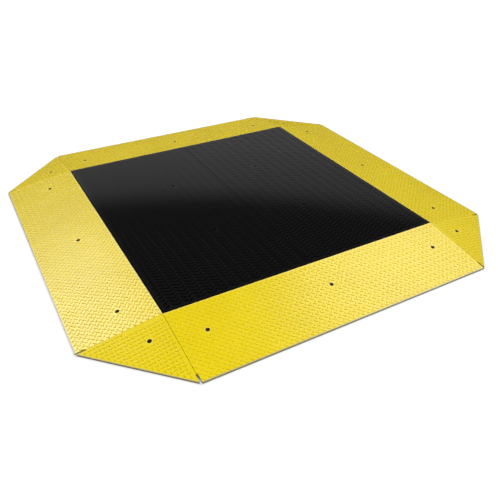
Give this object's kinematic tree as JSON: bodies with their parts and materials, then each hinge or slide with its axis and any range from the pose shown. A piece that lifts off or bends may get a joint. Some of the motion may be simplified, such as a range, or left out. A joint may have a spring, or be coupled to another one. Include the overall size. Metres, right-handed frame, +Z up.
{
  "type": "pallet scale",
  "caption": "Low-profile floor scale with a square black tread-plate deck on load cells and levelling feet, ringed by lift-off yellow tread-plate ramps and corner panels.",
  "frame": {"origin": "on the floor, at the centre of the footprint", "axes": "+Z up; +X to the right and +Y to the back, along the deck's sides; the seam of the deck lies on x = 0"},
  "size_m": [1.8388, 1.8388, 0.0508],
  "materials": {
    "deck_black": "gloss black enamel on tread plate, lightly worn on the lugs",
    "ramp_yellow": "gloss safety yellow enamel on tread plate",
    "frame_black": "satin black primer on structural steel",
    "cell_steel": "nickel-plated alloy steel",
    "zinc_steel": "bright zinc plate",
    "box_aluminium": "die cast, satin",
    "cable_black": "matt PVC sheath",
    "gland_black": "moulded nylon",
    "board_green": "solder-masked circuit board"
  },
  "bodies": {
    "deck": {"deck_plate_left": "deck_black", "deck_plate_right": "deck_black", "rail_left": "frame_black", "rail_right": "frame_black", "rail_front": "frame_black", "rail_back": "frame_black", "seam_channel": "frame_black", "rib_left_outer": "frame_black", "rib_left_lifting": "frame_black", "rib_right_outer": "frame_black", "rib_right_lifting": "frame_black", "load_cell_front_left": "cell_steel", "cell_block_front_left": "frame_black", "cell_bolt_front_left_1": "zinc_steel", "cell_bolt_front_left_2": "zinc_steel", "load_cell_front_right": "cell_steel", "cell_block_front_right": "frame_black", "cell_bolt_front_right_1": "zinc_steel", "cell_bolt_front_right_2": "zinc_steel", "load_cell_back_right": "cell_steel", "cell_block_back_right": "frame_black", "cell_bolt_back_right_1": "zinc_steel", "cell_bolt_back_right_2": "zinc_steel", "load_cell_back_left": "cell_steel", "cell_block_back_left": "frame_black", "cell_bolt_back_left_1": "zinc_steel", "cell_bolt_back_left_2": "zinc_steel", "junction_box": "box_aluminium", "junction_box_lid": "box_aluminium", "summing_board": "board_green", "cell_lead_front_left": "cable_black", "cell_lead_back_left": "cable_black", "cell_lead_front_right": "cable_black", "cell_lead_back_right": "cable_black", "home_run_lead": "cable_black", "cable_gland": "gland_black"},
    "foot_pad_front_left": {"foot_pad_front_left": "zinc_steel"},
    "foot_stem_front_left": {"foot_stem_front_left": "zinc_steel"},
    "foot_pad_front_right": {"foot_pad_front_right": "zinc_steel"},
    "foot_stem_front_right": {"foot_stem_front_right": "zinc_steel"},
    "foot_pad_back_right": {"foot_pad_back_right": "zinc_steel"},
    "foot_stem_back_right": {"foot_stem_back_right": "zinc_steel"},
    "foot_pad_back_left": {"foot_pad_back_left": "zinc_steel"},
    "foot_stem_back_left": {"foot_stem_back_left": "zinc_steel"},
    "ramp_front": {"ramp_plate_front": "ramp_yellow", "ramp_frame_front": "ramp_yellow"},
    "ramp_right": {"ramp_plate_right": "ramp_yellow", "ramp_frame_right": "ramp_yellow"},
    "ramp_back": {"ramp_plate_back": "ramp_yellow", "ramp_frame_back": "ramp_yellow"},
    "ramp_left": {"ramp_plate_left": "ramp_yellow", "ramp_frame_left": "ramp_yellow"},
    "corner_front_left": {"corner_plate_front_left": "ramp_yellow", "corner_frame_front_left": "ramp_yellow"},
    "corner_front_right": {"corner_plate_front_right": "ramp_yellow", "corner_frame_front_right": "ramp_yellow"},
    "corner_back_right": {"corner_plate_back_right": "ramp_yellow", "corner_frame_back_right": "ramp_yellow"},
    "corner_back_left": {"corner_plate_back_left": "ramp_yellow", "corner_frame_back_left": "ramp_yellow"}
  },
  "joints": [
    {"name": "foot_height_front_left", "type": "slide", "parent": "deck", "child": "foot_pad_front_left", "axis": [0, 0, 1], "range_m": [-0.008, 0.002]},
    {"name": "foot_turn_front_left", "type": "hinge", "parent": "foot_pad_front_left", "child": "foot_stem_front_left", "pos_m": [-0.545, -0.545, 0.0246], "axis": [0, 0, 1], "range_deg": [-1646, 412]},
    {"name": "foot_height_front_right", "type": "slide", "parent": "deck", "child": "foot_pad_front_right", "axis": [0, 0, 1], "range_m": [-0.008, 0.002]},
    {"name": "foot_turn_front_right", "type": "hinge", "parent": "foot_pad_front_right", "child": "foot_stem_front_right", "pos_m": [0.545, -0.545, 0.0246], "axis": [0, 0, 1], "range_deg": [-1646, 412]},
    {"name": "foot_height_back_right", "type": "slide", "parent": "deck", "child": "foot_pad_back_right", "axis": [0, 0, 1], "range_m": [-0.008, 0.002]},
    {"name": "foot_turn_back_right", "type": "hinge", "parent": "foot_pad_back_right", "child": "foot_stem_back_right", "pos_m": [0.545, 0.545, 0.0246], "axis": [0, 0, 1], "range_deg": [-1646, 412]},
    {"name": "foot_height_back_left", "type": "slide", "parent": "deck", "child": "foot_pad_back_left", "axis": [0, 0, 1], "range_m": [-0.008, 0.002]},
    {"name": "foot_turn_back_left", "type": "hinge", "parent": "foot_pad_back_left", "child": "foot_stem_back_left", "pos_m": [-0.545, 0.545, 0.0246], "axis": [0, 0, 1], "range_deg": [-1646, 412]},
    {"name": "ramp_lift_front", "type": "slide", "parent": "deck", "child": "ramp_front", "axis": [0, 0, 1], "range_m": [0, 0.15]},
    {"name": "ramp_lift_right", "type": "slide", "parent": "deck", "child": "ramp_right", "axis": [0, 0, 1], "range_m": [0, 0.15]},
    {"name": "ramp_lift_back", "type": "slide", "parent": "deck", "child": "ramp_back", "axis": [0, 0, 1], "range_m": [0, 0.15]},
    {"name": "ramp_lift_left", "type": "slide", "parent": "deck", "child": "ramp_left", "axis": [0, 0, 1], "range_m": [0, 0.15]},
    {"name": "corner_lift_front_left", "type": "slide", "parent": "deck", "child": "corner_front_left", "axis": [0, 0, 1], "range_m": [0, 0.15]},
    {"name": "corner_lift_front_right", "type": "slide", "parent": "deck", "child": "corner_front_right", "axis": [0, 0, 1], "range_m": [0, 0.15]},
    {"name": "corner_lift_back_right", "type": "slide", "parent": "deck", "child": "corner_back_right", "axis": [0, 0, 1], "range_m": [0, 0.15]},
    {"name": "corner_lift_back_left", "type": "slide", "parent": "deck", "child": "corner_back_left", "axis": [0, 0, 1], "range_m": [0, 0.15]}
  ],
  "couplings": [
    {"joint": "foot_turn_front_left", "follows": "foot_height_front_left", "rad_per_m": 3590.4},
    {"joint": "foot_turn_front_right", "follows": "foot_height_front_right", "rad_per_m": 3590.4},
    {"joint": "foot_turn_back_right", "follows": "foot_height_back_right", "rad_per_m": 3590.4},
    {"joint": "foot_turn_back_left", "follows": "foot_height_back_left", "rad_per_m": 3590.4}
  ]
}
